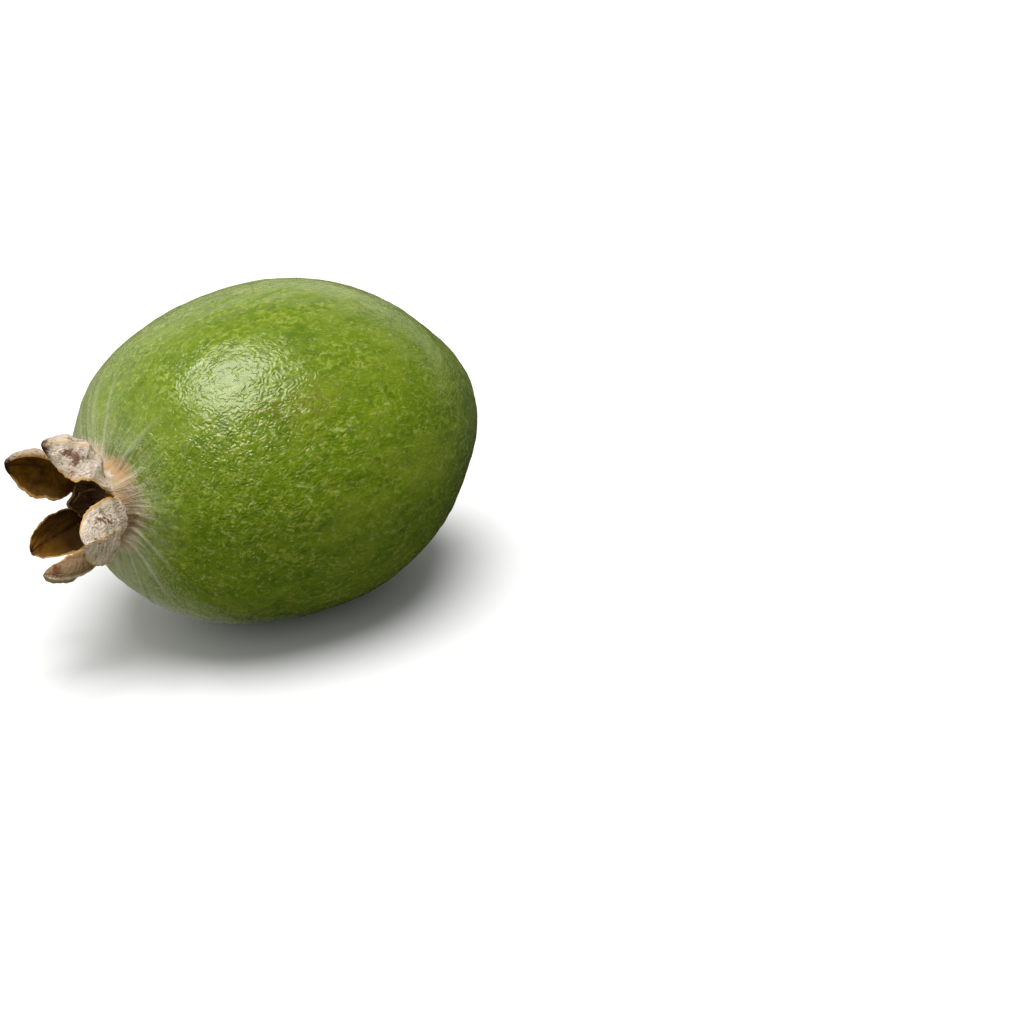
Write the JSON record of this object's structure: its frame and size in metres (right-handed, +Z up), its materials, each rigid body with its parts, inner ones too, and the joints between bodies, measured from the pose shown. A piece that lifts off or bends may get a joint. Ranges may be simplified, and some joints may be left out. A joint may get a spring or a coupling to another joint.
{
  "type": "feijoa",
  "caption": "Whole ripe feijoa fruit lying on its side, egg-shaped green body with a dried, splayed calyx of leathery sepals at one end.",
  "frame": {"origin": "on the surface the fruit rests on, under the middle of its outline", "axes": "+Z up; the fruit's long axis lies along X with the calyx towards -X, raised by 2.3 degrees; +Y is the side the main view does not show"},
  "size_m": [0.0784, 0.05, 0.0496],
  "materials": {
    "skin": "waxy mottled green skin with fine wrinkles",
    "dried_sepal": "dry felted beige outside, dark brown inside",
    "dried_thread": "dry brown fibre"
  },
  "bodies": {
    "root": {"fruit_body": "skin", "sepal_upper": "dried_sepal", "sepal_near": "dried_sepal", "sepal_lower": "dried_sepal", "sepal_far_low": "dried_sepal", "sepal_far_up": "dried_sepal", "style_stub": "dried_thread", "dried_filament_1": "dried_thread", "dried_filament_2": "dried_thread", "dried_filament_3": "dried_thread", "dried_filament_4": "dried_thread"}
  },
  "joints": []
}
